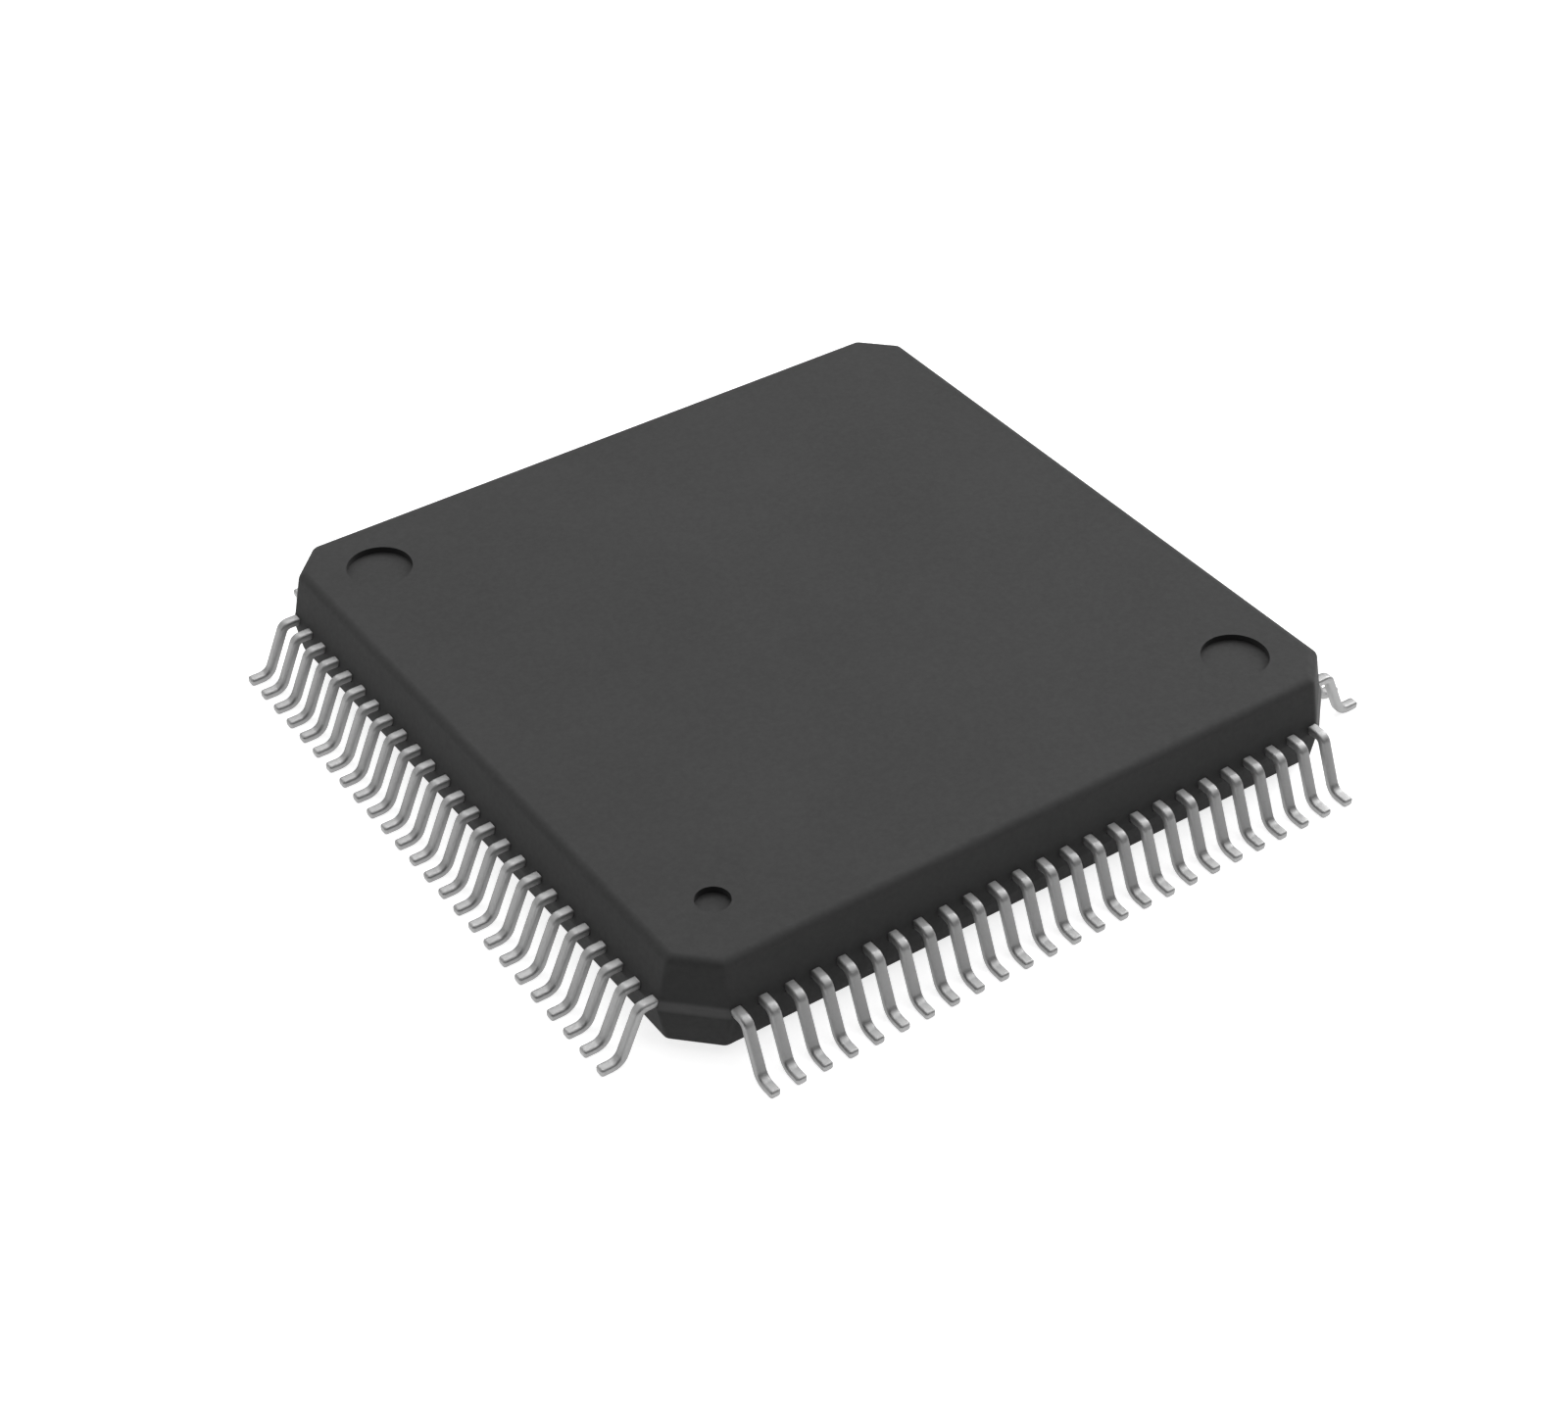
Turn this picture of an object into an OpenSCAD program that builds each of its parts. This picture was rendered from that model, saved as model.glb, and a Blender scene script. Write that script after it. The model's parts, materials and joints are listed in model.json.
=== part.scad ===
// Quad flat pack: a square chip package with gull-wing leads on all four sides.
// Millimetres, +Z up. The origin is on the board's surface, under the middle of the package.
// The front side faces -Y, and the pin-1 dot is at the front left corner.

/* [Body] */
// Width of the moulded body across its flats, at the parting line
body_w = 13.9; // [13.6:0.1:14.6]
// Thickness of the moulded body
body_h = 1.72; // [1.5:0.01:2]
// Gap between the board and the underside of the body
stand_off = 0.21; // [0.05:0.01:0.4]
// Height of the lead frame's middle above the underside of the body
frame_h = 0.81; // [0.7:0.01:1]
// Draft of the sides above the parting line, in degrees from upright
top_draft = 13; // [8:1:18]
// Draft of the sides below the parting line, in degrees from upright
base_draft = 10; // [8:1:16]
// Draft of the cut corners, in degrees from upright
corner_draft = 8; // [2:1:12]
// Leg of the cut corners, at the parting line
corner_cut = 0.8; // [0.6:0.05:0.85]
// Width of the sloping step round the cut corners, which is as high as the lead frame is thick
corner_step = 0.06; // [0.05:0.01:0.12]
// Radius of the body's upright corners
corner_r = 0.14; // [0.05:0.01:0.15]
// Radius round the top face
top_edge_r = 0.18; // [0.05:0.01:0.2]
// Radius round the underside
base_edge_r = 0.07; // [0.03:0.01:0.1]

/* [Marks in the top face] */
// Diameter of the pin-1 dot
dot_d = 0.6; // [0.4:0.02:1]
// Depth of the pin-1 dot
dot_depth = 0.13; // [0.05:0.01:0.15]
// Distance of the pin-1 dot from the middle of the body, along X and along Y
dot_at = 5.42; // [4.8:0.01:5.5]
// Diameter of the round ejector marks
mark_d = 1.2; // [0.8:0.02:1.6]
// Depth of the round ejector marks
mark_depth = 0.12; // [0.04:0.01:0.12]
// Distance of the ejector marks from the middle of the body, along X and along Y
mark_at = 5.44; // [4.8:0.01:5.5]

/* [Leads] */
// Number of leads on each side
side_leads = 25; // [5:2:25]
// Distance from one lead to the next
pitch = 0.5; // [0.4:0.01:0.5]
// Width of a lead
lead_w = 0.2; // [0.17:0.01:0.23]
// Thickness of the sheet that the leads and the die pad are stamped from
sheet_t = 0.15; // [0.1:0.01:0.2]
// Length of the straight shoulder, from the body to the point where it would meet the shin
shoulder_l = 0.26; // [0.2:0.01:0.4]
// Slope of the shin, in degrees below level
shin_angle = 67; // [60:1:80]
// Length of the foot, from the point where the shin would meet it to the tip
foot_l = 0.39; // [0.3:0.01:0.6]
// Inner radius of the bend from the shoulder to the shin
knee_r = 0.08; // [0.05:0.01:0.1]
// Inner radius of the bend from the shin to the foot
heel_r = 0.18; // [0.08:0.01:0.2]

/* [Inner fingers] */
// Length over which a lead stays straight inside the body
root_l = 0.5; // [0.3:0.05:1]
// Distance of the finger tips from the middle of the package
tip_at = 3.6; // [3.45:0.05:3.8]
// Distance from one finger tip to the next
tip_pitch = 0.26; // [0.22:0.01:0.27]
// Width of a finger tip
tip_w = 0.14; // [0.1:0.01:0.16]

/* [Die and die pad] */
// Width of the square die
die_w = 4.8; // [4:0.1:5]
// Thickness of the die
die_t = 0.28; // [0.2:0.01:0.35]
// Thickness of the layer of die-attach adhesive
attach_t = 0.03; // [0.02:0.01:0.05]
// Width by which the adhesive shows round the die
attach_edge = 0.08; // [0.04:0.01:0.15]
// Width of the square die pad
pad_w = 5.8; // [5.4:0.1:6.2]
// Depth by which the pad is set down below the fingers
downset = 0.2; // [0.1:0.01:0.25]
// Width of the four tie bars
tie_w = 0.25; // [0.2:0.01:0.3]
// Length of a tie bar's sloping part, seen from above
tie_slope_l = 0.4; // [0.3:0.05:0.5]
// Thickness of the moulding over the end of a tie bar
tie_cover = 0.1; // [0.1:0.05:0.6]

/* [Bond wires] */
// Width of the square section that stands for a fine round wire
wire_w = 0.03; // [0.02:0.005:0.035]
// Height of a loop above the die
loop_h = 0.17; // [0.12:0.01:0.2]
// Corner of a loop, where the wire turns from upright to level
loop_turn = 0.06; // [0.04:0.01:0.1]
// Distance from one bond pad on the die to the next
bond_pitch = 0.18; // [0.12:0.01:0.18]
// Distance of the bond pads from the edge of the die
bond_in = 0.1; // [0.06:0.01:0.2]
// Length of wire that lies flat on a finger
stitch_l = 0.08; // [0.05:0.01:0.12]
// Distance of the end of the stitch from the finger tip
stitch_in = 0.2; // [0.15:0.01:0.3]

/* [Hidden] */

// Steps in each bend, each soft edge and each upright corner
bend_steps = 6;
edge_steps = 4;
corner_steps = 3;
// How far a cut reaches past the surface it opens
past = 0.2;

// The four sides of the package, as turns about Z from the front
FRONT = 0;
RIGHT = 90;
REAR = 180;
LEFT = 270;
SIDES = [FRONT, RIGHT, REAR, LEFT];

// Heights, from the board up
base_z = stand_off;
top_z = base_z + body_h;
frame_z = base_z + frame_h;
sheet_top = frame_z + sheet_t / 2;
sheet_low = frame_z - sheet_t / 2;
pad_top = sheet_top - downset;
attach_top = pad_top + attach_t;
die_top = attach_top + die_t;

// Distances from the middle of the package
half_w = body_w / 2;
shelf_w = half_w - tan(top_draft) * sheet_t;
low_corner = (body_w - corner_cut) / sqrt(2);
top_corner = low_corner - corner_step;
root_at = half_w - root_l;
tie_end = top_corner - tie_cover;
bond_at = die_w / 2 - bond_in;
stitch_at = tip_at + stitch_in;

// Places of the leads along a side, counted from its middle
half_count = (side_leads - 1) / 2;
PLACES = [-half_count : half_count];

// ---- Paths and ribbons ----

// Points of an arc about c with radius r, from angle a to angle b
function arc(c, r, a, b, steps) =
  [for (i = [0 : steps]) let (t = a + (b - a) * i / steps) c + r * [cos(t), sin(t)]];

function unit(v) = v / norm(v);

function left_of(v) = [-v[1], v[0]];

// Offset of corner i of a path to its left, so that each straight keeps the distance d
function mitre(path, i, d) =
  let (
    last = len(path) - 1,
    before = left_of(unit(i > 0 ? path[i] - path[i - 1] : path[1] - path[0])),
    after = left_of(unit(i < last ? path[i + 1] - path[i] : path[last] - path[last - 1]))
  )
  path[i] + d * (before + after) / (1 + before * after);

// Outline of a strip of thickness t that follows a path
function ribbon(path, t) =
  let (last = len(path) - 1)
  concat(
    [for (i = [0 : last]) mitre(path, i, t / 2)],
    [for (i = [last : -1 : 0]) mitre(path, i, -t / 2)]
  );

// Stands an outline drawn as [distance, height] on edge along -Y, w wide
module upright(outline, w) {
  rotate([90, 0, -90])
    linear_extrude(height = w, center = true)
      polygon(outline);
}

// ---- Mould body ----

// Level outline of the body with flats at distance h and cut corners at distance d from the axis
function ring(h, d, z) =
  [for (k = [0 : 7])
    let (
      p = (k % 2 == 0 ? h : d) - corner_r,
      q = (k % 2 == 0 ? d : h) - corner_r,
      turn = 45 * k,
      side = (q - p * cos(45)) / sin(45),
      c = [p * cos(turn) - side * sin(turn), p * sin(turn) + side * cos(turn)]
    )
    for (xy = arc(c, corner_r, turn, turn + 45, corner_steps)) [xy[0], xy[1], z]];

// Height that a half of the body has reached where its soft edge, of radius r, has turned by a
function rise(h, r, a) = h - r + r * sin(a);

// Distance that a side with a draft of lean has come in by there. The half is h high.
function inset(h, r, lean, a) = tan(lean) * rise(h, r, lean) + r * (cos(lean) - cos(a));

function lower_rings() =
  let (h = sheet_low - base_z, r = base_edge_r)
  [for (i = [edge_steps : -1 : 0])
    let (
      a = base_draft + (90 - base_draft) * i / edge_steps,
      flats = half_w - inset(h, r, base_draft, a),
      corners = low_corner - inset(h, r, corner_draft, a)
    )
    ring(flats, corners, sheet_low - rise(h, r, a))];

function upper_rings() =
  let (h = top_z - sheet_top, r = top_edge_r)
  [for (i = [0 : edge_steps])
    let (
      a = top_draft + (90 - top_draft) * i / edge_steps,
      flats = shelf_w - inset(h, r, top_draft, a),
      corners = top_corner - inset(h, r, corner_draft, a)
    )
    ring(flats, corners, sheet_top + rise(h, r, a))];

// Closed solid through a list of rings that all have the same number of points
module loft(rings) {
  n = len(rings[0]);
  last = len(rings) - 1;
  polyhedron(
    points = [for (r = rings) each r],
    faces = concat(
      [[for (i = [0 : n - 1]) i]],
      [[for (i = [n - 1 : -1 : 0]) last * n + i]],
      [for (k = [0 : last - 1], i = [0 : n - 1])
        let (j = (i + 1) % n)
        [k * n + i, (k + 1) * n + i, (k + 1) * n + j, k * n + j]]
    )
  );
}

// Both halves of the body, with the sloping step between their cut corners
module blank() {
  loft(concat(
    lower_rings(),
    [ring(half_w, low_corner, sheet_low), ring(shelf_w, top_corner, sheet_top)],
    upper_rings()
  ));
}

module mark(x, y, d, depth) {
  translate([x, y, top_z - depth])
    cylinder(h = depth + past, d = d, $fn = 48);
}

module mould_body() {
  color("#4a4a4a")
    difference() {
      blank();
      mark(-dot_at, -dot_at, dot_d, dot_depth);
      mark(-mark_at, mark_at, mark_d, mark_depth);
      mark(mark_at, -mark_at, mark_d, mark_depth);
      for (side = SIDES, i = PLACES)
        rotate(side) {
          finger(i);
          bond_wire(i);
        }
      pad_and_ties();
      attach_layer();
      die_block();
    }
}

// ---- Leads ----

// Middle line of the lead's gull wing, from its root inside the body to its tip
function gull_path() =
  let (
    foot_z = sheet_t / 2,
    knee = half_w + shoulder_l,
    heel = knee + (frame_z - foot_z) / tan(shin_angle),
    r = knee_r + sheet_t / 2,
    q = heel_r + sheet_t / 2,
    half_turn = tan(shin_angle / 2)
  )
  concat(
    [[root_at, frame_z]],
    arc([knee - r * half_turn, frame_z - r], r, 90, 90 - shin_angle, bend_steps),
    arc([heel + q * half_turn, foot_z + q], q, 270 - shin_angle, 270, bend_steps),
    [[heel + foot_l, foot_z]]
  );

// Place along the side of finger i, at a distance from the middle of the package
function finger_x(i, at) =
  i * (tip_pitch + (pitch - tip_pitch) * (at - tip_at) / (root_at - tip_at));

// Flat finger inside the body, from the body's face to the fan round the die pad
module finger(i) {
  translate([0, 0, sheet_low])
    linear_extrude(height = sheet_t)
      polygon([
        [i * pitch - lead_w / 2, -half_w],
        [i * pitch + lead_w / 2, -half_w],
        [i * pitch + lead_w / 2, -root_at],
        [i * tip_pitch + tip_w / 2, -tip_at],
        [i * tip_pitch - tip_w / 2, -tip_at],
        [i * pitch - lead_w / 2, -root_at]
      ]);
}

module lead(i) {
  finger(i);
  translate([i * pitch, 0, 0])
    upright(ribbon(gull_path(), sheet_t), lead_w);
}

module leads(side) {
  color("#b9b9b9")
    rotate(side)
      for (i = PLACES)
        lead(i);
}

// ---- Die pad, adhesive and die ----

// Level square plate in the middle of the package
module plate(w, low, high) {
  translate([-w / 2, -w / 2, low])
    cube([w, w, high - low]);
}

// Middle line of a tie bar, from the pad's corner up to the level of the fingers
function tie_path() =
  let (corner = pad_w / sqrt(2), low = pad_top - sheet_t / 2)
  [
    [corner - tie_w, low],
    [corner, low],
    [corner + tie_slope_l, frame_z],
    [tie_end, frame_z]
  ];

module pad_and_ties() {
  plate(pad_w, pad_top - sheet_t, pad_top);
  for (side = SIDES)
    rotate(side + 45)
      upright(ribbon(tie_path(), sheet_t), tie_w);
}

module attach_layer() {
  plate(die_w + 2 * attach_edge, pad_top, attach_top);
}

module die_block() {
  plate(die_w, attach_top, die_top);
}

module die_pad() {
  color("#b87a4b")
    pad_and_ties();
}

module die_attach() {
  color("#d8d4c8")
    attach_layer();
}

module die() {
  color("#6f7480")
    die_block();
}

// ---- Bond wires ----

// Middle line of a wire that spans l, as [distance along, height above the bond pad]
function loop_path(l) =
  let (end_z = sheet_top + wire_w / 2 - die_top)
  [
    [0, 0],
    [0, loop_h - loop_turn],
    [loop_turn, loop_h],
    [l / 2, loop_h - loop_turn / 2],
    [l - stitch_l, end_z],
    [l, end_z]
  ];

// Wire from bond pad i on the die to finger i
module bond_wire(i) {
  from = [i * bond_pitch, -bond_at];
  to = [finger_x(i, stitch_at), -stitch_at];
  span = to - from;
  translate([from[0], from[1], die_top])
    rotate(atan2(span[1], span[0]) + 90)
      upright(ribbon(loop_path(norm(span)), wire_w), wire_w);
}

module bond_wires(side) {
  color("gold")
    rotate(side)
      for (i = PLACES)
        bond_wire(i);
}

mould_body();
leads(FRONT);  // leads_front
leads(RIGHT);  // leads_right
leads(REAR);  // leads_rear
leads(LEFT);  // leads_left
die_pad();
die_attach();
die();
bond_wires(FRONT);  // bond_wires_front
bond_wires(RIGHT);  // bond_wires_right
bond_wires(REAR);  // bond_wires_rear
bond_wires(LEFT);  // bond_wires_left
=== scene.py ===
# %% [markdown]
# # A quad flat pack chip
#
# This lesson finishes a small chip package: a black moulded body with a hundred tin-plated leads.
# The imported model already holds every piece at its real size, so nothing here moves or resizes one.
# What is left to do is what the eye reads: soft edges, the grain of each surface, the light and the view.
# Everything is in metres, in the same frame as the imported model, with +Z up.

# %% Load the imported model
import json
import math

import bpy
from mathutils import Euler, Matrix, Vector


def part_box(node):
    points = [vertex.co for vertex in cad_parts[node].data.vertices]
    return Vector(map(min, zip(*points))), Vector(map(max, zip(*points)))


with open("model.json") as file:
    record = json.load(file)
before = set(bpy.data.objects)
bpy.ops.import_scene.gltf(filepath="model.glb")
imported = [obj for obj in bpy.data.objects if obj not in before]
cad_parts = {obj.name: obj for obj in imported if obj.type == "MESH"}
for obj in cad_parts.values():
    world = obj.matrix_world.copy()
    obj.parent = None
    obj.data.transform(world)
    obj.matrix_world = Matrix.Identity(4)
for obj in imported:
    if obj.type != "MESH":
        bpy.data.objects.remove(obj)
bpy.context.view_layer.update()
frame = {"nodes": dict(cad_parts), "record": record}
nodes = frame["nodes"]
MM = 0.001

print("Nodes:", ", ".join(sorted(nodes)))

# %% [markdown]
# ## Sizes to work from
#
# The floor's level, and the place of the painted highlight round the cut corners, come from the imported
# model itself, so they follow the part if it is ever packed at another size.

# %% Read the sizes of the main pieces
SHEET_HALF = 0.075 * MM  # half the thickness of the sheet that the lead frame is stamped from

body_low, body_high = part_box("mould_body")
front_low, front_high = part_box("leads_front")
FLOOR_Z = front_low.z
# The tie bars lie level with the fingers, so the lead frame's middle is half a sheet below their top.
FRAME_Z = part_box("die_pad")[1].z - SHEET_HALF
# The widest sum of |x| and |y| on the body, which its cut corners have.
CORNER_REACH = max(abs(v.co.x) + abs(v.co.y) for v in nodes["mould_body"].data.vertices)

body_width, _, body_thickness = (body_high - body_low) / MM
print(f"Body {body_width:.2f} mm wide and {body_thickness:.2f} mm thick")
print(f"Lead row {(front_high.x - front_low.x) / MM:.2f} mm long, {-front_low.y / MM:.2f} mm out")
print(f"Lead frame {(FRAME_Z - FLOOR_Z) / MM:.2f} mm above the board")

# %% [markdown]
# ## Helpers for materials
#
# Colours are chosen as sRGB hex values, the way a paint chart gives them, but a shader works in linear
# light. One function turns one into the other. A second one adds a node with its settings and its links,
# which keeps each material below short enough to read as a recipe.


# %% Colour and node helpers
def linear(hex_colour):
    """Turns an sRGB hex value such as "#808080" into a linear colour with alpha 1."""
    channels = [int(hex_colour[i : i + 2], 16) / 255 for i in (1, 3, 5)]
    return [c / 12.92 if c <= 0.04045 else ((c + 0.055) / 1.055) ** 2.4 for c in channels] + [1.0]


def add(tree, kind, settings=None, **inputs):
    """Adds a node. settings are its properties; inputs are values or the sockets that feed it.

    An input is given by its name, or by its number where several share a name, as _0 and _1 do in a Math
    node. In a Mix node the two colours are _6 and _7, and the mixed colour is its output 2.
    """
    node = tree.nodes.new(kind)
    for name, value in (settings or {}).items():
        setattr(node, name, value)
    for name, value in inputs.items():
        key = int(name[1:]) if name[0] == "_" else name.replace("_", " ")
        socket = node.inputs[key]
        if isinstance(value, bpy.types.NodeSocket):
            tree.links.new(value, socket)
        else:
            socket.default_value = value
    return node


def new_material(name):
    """A material with an empty tree, ready for a recipe."""
    material = bpy.data.materials.new(name)
    material.use_nodes = True
    material.node_tree.nodes.clear()
    return material, material.node_tree


def per_metre(size_mm):
    """Scale of a noise whose cells are size_mm across."""
    return 1 / (size_mm * MM)


# Nearly all values of a noise lie in the middle of its range, so that part is stretched to full contrast.
NOISE_MIDDLE = {"From_Min": 0.3, "From_Max": 0.7}

# %% [markdown]
# ## The painted highlight at the cut corners
#
# The mould's two halves meet level with the lead frame, and at the cut corners the body steps in a little
# there. That step catches the light from above much as the top face does, and this light is painted into
# the colour as a pale band: a painted highlight, put in as a mask in the material. What makes it pale
# isn't certain: the edge may be roughened where the halves closed, or a little of the compound may have
# crept between them. Two things have to be true of a point on the band: it lies near the level of the
# lead frame, and it lies out at a cut corner.

# %% Painted highlight at the corners
LINE_CORE, LINE_EDGE = 0.03 * MM, 0.13 * MM  # full within the one, gone beyond the other
CORNER_START, CORNER_FULL = 0.14 * MM, 0.06 * MM  # the same, measured in from the widest corner


def corner_highlight_mask(tree, place):
    """Painted highlight mask: 1 where the cavity halves met at the cut corners, fading out around that.
    """
    along = add(tree, "ShaderNodeSeparateXYZ", Vector=place).outputs
    height = add(tree, "ShaderNodeMath", {"operation": "SUBTRACT"}, _0=along["Z"], _1=FRAME_Z)
    height = add(tree, "ShaderNodeMath", {"operation": "ABSOLUTE"}, _0=height.outputs[0])
    level = add(
        tree,
        "ShaderNodeMapRange",
        {"interpolation_type": "SMOOTHSTEP"},
        Value=height.outputs[0],
        From_Min=LINE_EDGE,
        From_Max=LINE_CORE,
    )
    sideways = add(tree, "ShaderNodeMath", {"operation": "ABSOLUTE"}, _0=along["X"])
    forward = add(tree, "ShaderNodeMath", {"operation": "ABSOLUTE"}, _0=along["Y"])
    reach = add(
        tree, "ShaderNodeMath", {"operation": "ADD"}, _0=sideways.outputs[0], _1=forward.outputs[0]
    )
    corner = add(
        tree,
        "ShaderNodeMapRange",
        {"interpolation_type": "SMOOTHSTEP"},
        Value=reach.outputs[0],
        From_Min=CORNER_REACH - CORNER_START,
        From_Max=CORNER_REACH - CORNER_FULL,
    )
    return add(
        tree,
        "ShaderNodeMath",
        {"operation": "MULTIPLY"},
        _0=level.outputs["Result"],
        _1=corner.outputs["Result"],
    ).outputs[0]


# %% [markdown]
# ## Black epoxy moulding compound
#
# The body is transfer-moulded epoxy, filled with fine silica and blackened with carbon. The mould's
# cavity was spark eroded, so the face comes out evenly matt with a fine pebble. That gives the eye a dark
# neutral grey with a broad, weak sheen and no mirror image. The pebble of a real cavity is about 0.03 mm,
# too fine to show here, so it is drawn at 0.09 mm. Slow clouds in the tone stand for the filler, which
# never spreads quite evenly.

# %% Moulding compound
PEBBLE_MM = 0.09
CLOUD_MM = 2.5
PEBBLE_DEPTH = 0.004 * MM


def moulding_compound():
    material, tree = new_material("epoxy_moulding_compound")
    place = add(tree, "ShaderNodeTexCoord").outputs["Object"]
    pebble = add(
        tree, "ShaderNodeTexNoise", Vector=place, Scale=per_metre(PEBBLE_MM), Detail=3.0, Roughness=0.6
    ).outputs["Fac"]
    clouds = add(
        tree, "ShaderNodeTexNoise", Vector=place, Scale=per_metre(CLOUD_MM), Detail=4.0, Roughness=0.55
    ).outputs["Fac"]
    tone = add(tree, "ShaderNodeMapRange", Value=clouds, **NOISE_MIDDLE)
    black = add(
        tree,
        "ShaderNodeMix",
        {"data_type": "RGBA"},
        Factor=tone.outputs["Result"],
        _6=linear("#282828"),
        _7=linear("#2c2c2c"),
    )
    # Painted highlight: the band at the cut corners is lightened to #525252 in place of the light the
    # step catches.
    with_corner_highlight = add(
        tree,
        "ShaderNodeMix",
        {"data_type": "RGBA"},
        Factor=corner_highlight_mask(tree, place),
        _6=black.outputs[2],
        _7=linear("#525252"),
    )
    gloss = add(tree, "ShaderNodeMapRange", Value=pebble, To_Min=0.78, To_Max=0.86, **NOISE_MIDDLE)
    relief = add(tree, "ShaderNodeBump", Strength=0.35, Distance=PEBBLE_DEPTH, Height=pebble)
    shader = add(
        tree,
        "ShaderNodeBsdfPrincipled",
        Base_Color=with_corner_highlight.outputs[2],
        Roughness=gloss.outputs["Result"],
        IOR=1.5,
        Normal=relief.outputs["Normal"],
    )
    add(tree, "ShaderNodeOutputMaterial", Surface=shader.outputs["BSDF"])
    return material


# %% [markdown]
# ## Matt tin on the leads
#
# The leads are stamped from copper alloy and plated with matt tin after moulding. The plating grows in
# small crystals, so the metal is satin: it takes a broad highlight along each bend but shows no clear
# reflection. Real crystals are a few thousandths of a millimetre, too fine to show, so they are drawn at
# 0.05 mm. Each lead took the plating a little differently, so every one gets its own slight tone.

# %% Tin plating
CRYSTAL_MM = 0.05
CRYSTAL_DEPTH = 0.002 * MM


def tin_plating():
    material, tree = new_material("matt_tin_plating")
    place = add(tree, "ShaderNodeTexCoord").outputs["Object"]
    crystals = add(
        tree, "ShaderNodeTexNoise", Vector=place, Scale=per_metre(CRYSTAL_MM), Detail=2.0
    ).outputs["Fac"]
    tin = add(
        tree,
        "ShaderNodeMix",
        {"data_type": "RGBA"},
        Factor=add(tree, "ShaderNodeNewGeometry").outputs["Random Per Island"],
        _6=linear("#9a9a9a"),
        _7=linear("#a2a2a2"),
    )
    gloss = add(tree, "ShaderNodeMapRange", Value=crystals, To_Min=0.46, To_Max=0.54, **NOISE_MIDDLE)
    relief = add(tree, "ShaderNodeBump", Strength=0.2, Distance=CRYSTAL_DEPTH, Height=crystals)
    shader = add(
        tree,
        "ShaderNodeBsdfPrincipled",
        Base_Color=tin.outputs[2],
        Metallic=1.0,
        Roughness=gloss.outputs["Result"],
        Normal=relief.outputs["Normal"],
    )
    add(tree, "ShaderNodeOutputMaterial", Surface=shader.outputs["BSDF"])
    return material


# %% [markdown]
# ## Finishes inside the package
#
# The moulding hides the die and its fittings, but a chip that is cut open should still look right. Rolled
# copper alloy shows fine lines along the direction of rolling. Gold wire is drawn through a die and comes
# out bright. Cured silver-filled epoxy is a pale grey paste, speckled by its silver flakes. Passivated
# silicon is polished and glassy, a slate grey with a hint of blue. The real lines and flakes are near
# 0.01 mm, and they are drawn a few times coarser so that they show on a close look.


# %% Metals inside
def grained_metal(name, dark, light, grain_mm, low_gloss, high_gloss, stretch=(1.0, 1.0, 1.0)):
    """Metal whose tone and gloss follow a grain that may be stretched into lines."""
    material, tree = new_material(name)
    place = add(tree, "ShaderNodeTexCoord").outputs["Object"]
    drawn = add(tree, "ShaderNodeMapping", Vector=place, Scale=stretch).outputs["Vector"]
    grain = add(
        tree, "ShaderNodeTexNoise", Vector=drawn, Scale=per_metre(grain_mm), Detail=3.0
    ).outputs["Fac"]
    colour = add(
        tree, "ShaderNodeMix", {"data_type": "RGBA"}, Factor=grain, _6=linear(dark), _7=linear(light)
    )
    gloss = add(tree, "ShaderNodeMapRange", Value=grain, To_Min=low_gloss, To_Max=high_gloss)
    shader = add(
        tree,
        "ShaderNodeBsdfPrincipled",
        Base_Color=colour.outputs[2],
        Metallic=1.0,
        Roughness=gloss.outputs["Result"],
    )
    add(tree, "ShaderNodeOutputMaterial", Surface=shader.outputs["BSDF"])
    return material


# %% Adhesive and silicon
def smooth_solid(name, dark, light, grain_mm, roughness, ior):
    """Non-metal with a fine mottle."""
    material, tree = new_material(name)
    place = add(tree, "ShaderNodeTexCoord").outputs["Object"]
    mottle = add(
        tree, "ShaderNodeTexNoise", Vector=place, Scale=per_metre(grain_mm), Detail=2.0
    ).outputs["Fac"]
    colour = add(
        tree, "ShaderNodeMix", {"data_type": "RGBA"}, Factor=mottle, _6=linear(dark), _7=linear(light)
    )
    shader = add(
        tree, "ShaderNodeBsdfPrincipled", Base_Color=colour.outputs[2], Roughness=roughness, IOR=ior
    )
    add(tree, "ShaderNodeOutputMaterial", Surface=shader.outputs["BSDF"])
    return material


# %% [markdown]
# ## Giving each node its finish
#
# The record says which material slot each node takes. A node's own slots are replaced, so that whatever
# plain colour came with the model is gone.

# %% Dress every node
ROLLED_LINES = (1.0, 0.05, 1.0)  # twenty times longer along Y, the direction of rolling

FINISHES = {
    "moulding_compound": moulding_compound(),
    "tinned_leads": tin_plating(),
    "copper_alloy": grained_metal(
        "rolled_copper_alloy", "#b9805c", "#c99270", 0.05, 0.25, 0.4, ROLLED_LINES
    ),
    "die_adhesive": smooth_solid("silver_filled_epoxy", "#b4b2ad", "#c2c0ba", 0.04, 0.5, 1.55),
    "silicon": smooth_solid("passivated_silicon", "#4b5060", "#555a68", 0.5, 0.15, 2.0),
    "gold_wire": grained_metal("drawn_gold", "#d9a441", "#e6b65a", 0.02, 0.15, 0.25),
}

for part in frame["record"]["subparts"]:
    mesh = nodes[part["node"]].data
    mesh.materials.clear()
    mesh.materials.append(FINISHES[part["material_slot"]])
    print(part["node"], "is finished in", mesh.materials[0].name)

# %% [markdown]
# ## Soft edges
#
# No real edge is razor sharp: the mould has small radii, and a stamped lead is rounded by the punch and
# the plating. A rounded edge is also what catches the light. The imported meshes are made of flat
# triangles, so each node gets a short stack of modifiers. Weld joins the triangles. Decimate merges those
# that lie in one plane, so that no stray line is left across a flat face. Bevel rounds the edges of the
# leads; the body has its roundings in the solid already. A small node group then shades gentle turns as
# smooth and keeps the real corners crisp, and Weighted Normal keeps large faces flat. The leads go
# without Weighted Normal, because their narrow faces look stiff with it.

# %% Smooth shading by angle
SMOOTH_BELOW = 35  # degrees


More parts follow.
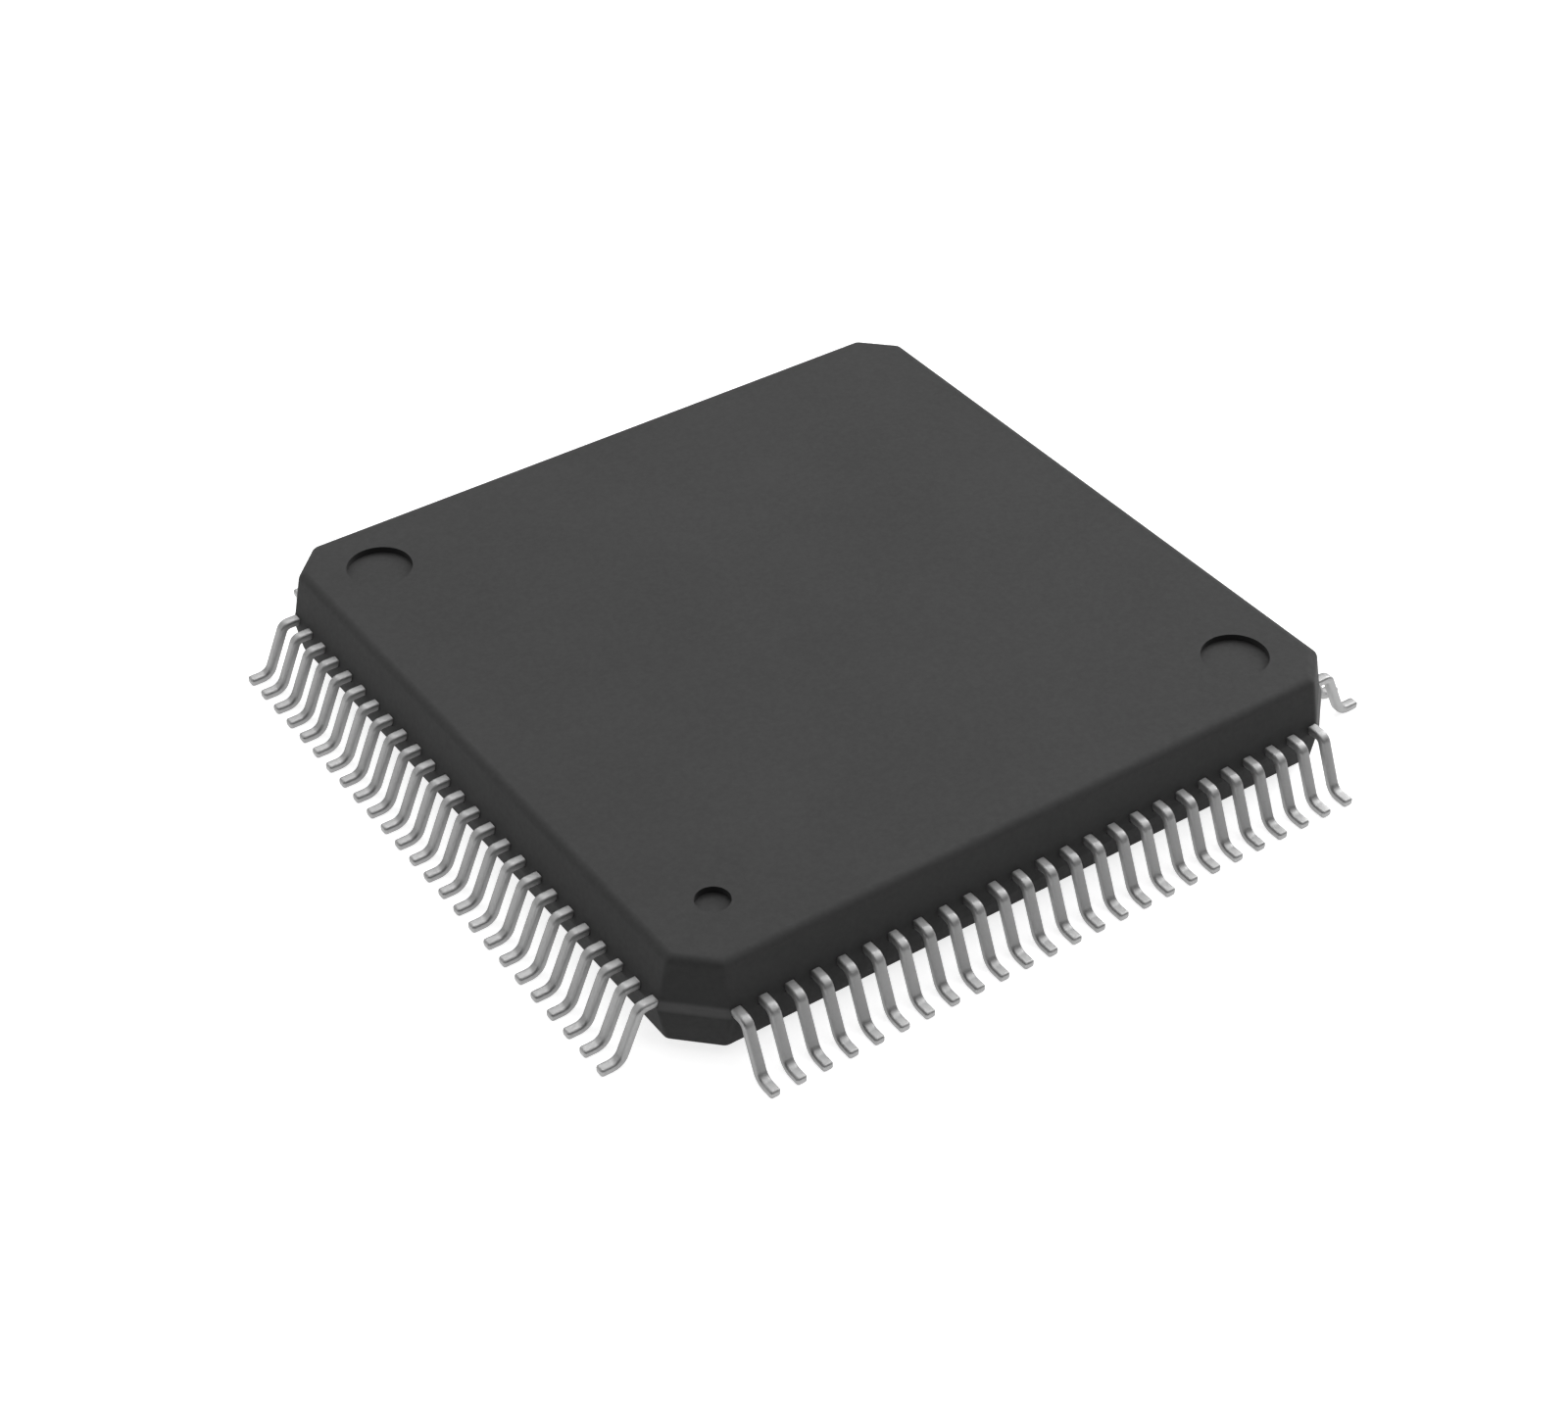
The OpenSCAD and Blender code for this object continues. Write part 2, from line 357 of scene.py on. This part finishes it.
def smooth_by_angle(limit):
    """Node group that shades a mesh smooth, apart from edges that turn by more than limit degrees."""
    group = bpy.data.node_groups.new(f"smooth_below_{limit}_degrees", "GeometryNodeTree")
    group.interface.new_socket("Geometry", in_out="INPUT", socket_type="NodeSocketGeometry")
    group.interface.new_socket("Geometry", in_out="OUTPUT", socket_type="NodeSocketGeometry")
    source = add(group, "NodeGroupInput")
    faces = add(
        group,
        "GeometryNodeSetShadeSmooth",
        {"domain": "FACE"},
        Geometry=source.outputs[0],
        Shade_Smooth=True,
    )
    turn = add(group, "GeometryNodeInputMeshEdgeAngle")
    sharp = add(
        group,
        "FunctionNodeCompare",
        {"operation": "GREATER_THAN"},
        A=turn.outputs[0],
        B=math.radians(limit),
    )
    edges = add(
        group,
        "GeometryNodeSetShadeSmooth",
        {"domain": "EDGE"},
        Geometry=faces.outputs[0],
        Selection=sharp.outputs[0],
        Shade_Smooth=False,
    )
    add(group, "NodeGroupOutput", Geometry=edges.outputs[0])
    return group


SMOOTH = smooth_by_angle(SMOOTH_BELOW)

# %% Modifier stack
WELD_GAP = 0.0001 * MM
SAME_PLANE = math.radians(0.5)
ROUND_ABOVE = math.radians(40)
LEAD_EDGE = 0.07 * MM  # rounding left by the punch and the plating
LEAD_EDGE_STEPS = 4


def modifier(piece, name, kind, **settings):
    """Adds a modifier with its settings."""
    made = piece.modifiers.new(name, kind)
    for key, value in settings.items():
        setattr(made, key, value)


def soften(piece, radius=0.0, flat_faces=True):
    """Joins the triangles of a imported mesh, rounds its sharp edges and shades it."""
    modifier(piece, "join", "WELD", merge_threshold=WELD_GAP)
    modifier(piece, "flatten", "DECIMATE", decimate_type="DISSOLVE", angle_limit=SAME_PLANE)
    if radius:
        modifier(
            piece,
            "round",
            "BEVEL",
            width=radius,
            segments=LEAD_EDGE_STEPS,
            limit_method="ANGLE",
            angle_limit=ROUND_ABOVE,
            use_clamp_overlap=True,
        )
    modifier(piece, "shade", "NODES", node_group=SMOOTH)
    if flat_faces:
        modifier(piece, "weigh", "WEIGHTED_NORMAL", keep_sharp=True, weight=100)
    print(piece.name, "has", ", ".join(made.name for made in piece.modifiers))


for side in ("front", "right", "rear", "left"):
    soften(nodes["leads_" + side], LEAD_EDGE, flat_faces=False)
    soften(nodes["bond_wires_" + side])
for name in ("mould_body", "die_pad", "die_attach", "die"):
    soften(nodes[name])

# %% [markdown]
# ## Floor
#
# The chip stands on a plain sheet of white paper. For the camera and for reflections the paper is given a
# little light of its own, so that it reads as white while the lamps stay at a plain level, and the chip
# still casts its soft shadow. The sheet is wide enough for its far end to stay out of a low view.

# %% Paper floor
FLOOR_HALF = 3.0
PAPER_LIFT = 0.8


def white_paper():
    material, tree = new_material("white_paper_floor")
    paper = add(tree, "ShaderNodeBsdfDiffuse", Color=linear("#d4d4d4"))
    path = add(tree, "ShaderNodeLightPath").outputs
    seen = path["Is Camera Ray"]
    for ray in ("Is Glossy Ray", "Is Transmission Ray"):
        seen = add(tree, "ShaderNodeMath", {"operation": "MAXIMUM"}, _0=seen, _1=path[ray]).outputs[0]
    lift = add(tree, "ShaderNodeMath", {"operation": "MULTIPLY"}, _0=seen, _1=PAPER_LIFT)
    glow = add(tree, "ShaderNodeEmission", Strength=lift.outputs[0])
    both = add(tree, "ShaderNodeAddShader", _0=paper.outputs[0], _1=glow.outputs[0])
    add(tree, "ShaderNodeOutputMaterial", Surface=both.outputs[0])
    return material


floor_mesh = bpy.data.meshes.new("floor")
corners = [(x * FLOOR_HALF, y * FLOOR_HALF, FLOOR_Z) for x, y in ((-1, -1), (1, -1), (1, 1), (-1, 1))]
floor_mesh.from_pydata(corners, [], [(0, 1, 2, 3)])
floor_mesh.materials.append(white_paper())
floor = bpy.data.objects.new("floor", floor_mesh)
bpy.context.scene.collection.objects.link(floor)
print(f"Floor {2 * FLOOR_HALF:.0f} m square")

# %% [markdown]
# ## Light
#
# Black plastic and bright metal ask for different light. A matt black face shows little but its weak
# sheen, so most of the lamps stand behind the chip, where the top face throws their light towards the
# camera and the two near sides stay dark. The metal needs something to mirror. A high softbox to the
# right puts the broad highlight on each bend, a small strong one at the rear right lights the feet of the
# front row, and a lamp straight behind does the same for the left row.

# %% Lamps and surroundings
MIDDLE = Vector((0.0, 0.0, FLOOR_Z))
PANEL_DISTANCE = 0.3
WORLD_LEVEL = 0.1


def panel(name, azimuth, elevation, width, radiance):
    """Square soft light that faces the chip. Azimuth runs clockwise from the rear, seen from above."""
    lamp = bpy.data.lights.new(name, "AREA")
    lamp.size = width
    lamp.energy = radiance * math.pi * width**2
    made = bpy.data.objects.new(name, lamp)
    made.rotation_euler = (math.radians(90 - elevation), 0.0, math.radians(180 - azimuth))
    away = made.rotation_euler.to_matrix() @ Vector((0.0, 0.0, 1.0))
    made.location = MIDDLE + PANEL_DISTANCE * away
    bpy.context.scene.collection.objects.link(made)
    print(f"{name} at azimuth {azimuth}, elevation {elevation} degrees")


panel("high_softbox", 124, 68, 0.3, 1.4)
panel("rear_softbox", 26, 58, 0.2, 3.0)
panel("rear_right_softbox", 80, 30, 0.16, 7.0)
panel("left_softbox", 310, 34, 0.3, 0.9)
panel("rear_lamp", 0, 30, 0.1, 3.3)

world = bpy.data.worlds.new("studio")
world.use_nodes = True
surroundings = world.node_tree.nodes["Background"].inputs
surroundings["Color"].default_value = linear("#ffffff")
surroundings["Strength"].default_value = WORLD_LEVEL
bpy.context.scene.world = world
bpy.context.scene.view_settings.view_transform = "Standard"

# %% [markdown]
# ## Camera
#
# The view looks down on the pin-1 corner from a little right of the body's diagonal, through a short
# telephoto lens. The camera is placed by its direction from the chip: how far round, how high, and how
# far away.

# %% Camera
AIM = Vector((-0.373 * MM, -0.070 * MM, FLOOR_Z))
AZIMUTH = math.radians(-34.35)
ELEVATION = math.radians(38.87)
ROLL = math.radians(-0.51)
DISTANCE = 53.59 * MM
LENS = 68.16

lens = bpy.data.cameras.new("camera")
lens.lens = LENS
lens.sensor_width = 36.0
lens.clip_start = 1 * MM
lens.clip_end = 10.0
camera = bpy.data.objects.new("camera", lens)
back = Vector(
    (
        math.sin(AZIMUTH) * math.cos(ELEVATION),
        -math.cos(AZIMUTH) * math.cos(ELEVATION),
        math.sin(ELEVATION),
    )
)
camera.location = AIM + DISTANCE * back
turn = Euler((math.pi / 2 - ELEVATION, 0.0, AZIMUTH), "XYZ").to_matrix()
roll = Euler((0.0, 0.0, ROLL), "XYZ").to_matrix()
camera.rotation_euler = (turn @ roll).to_euler()
bpy.context.scene.collection.objects.link(camera)
bpy.context.scene.camera = camera

print("Camera at", [round(c / MM, 2) for c in camera.location], "mm")
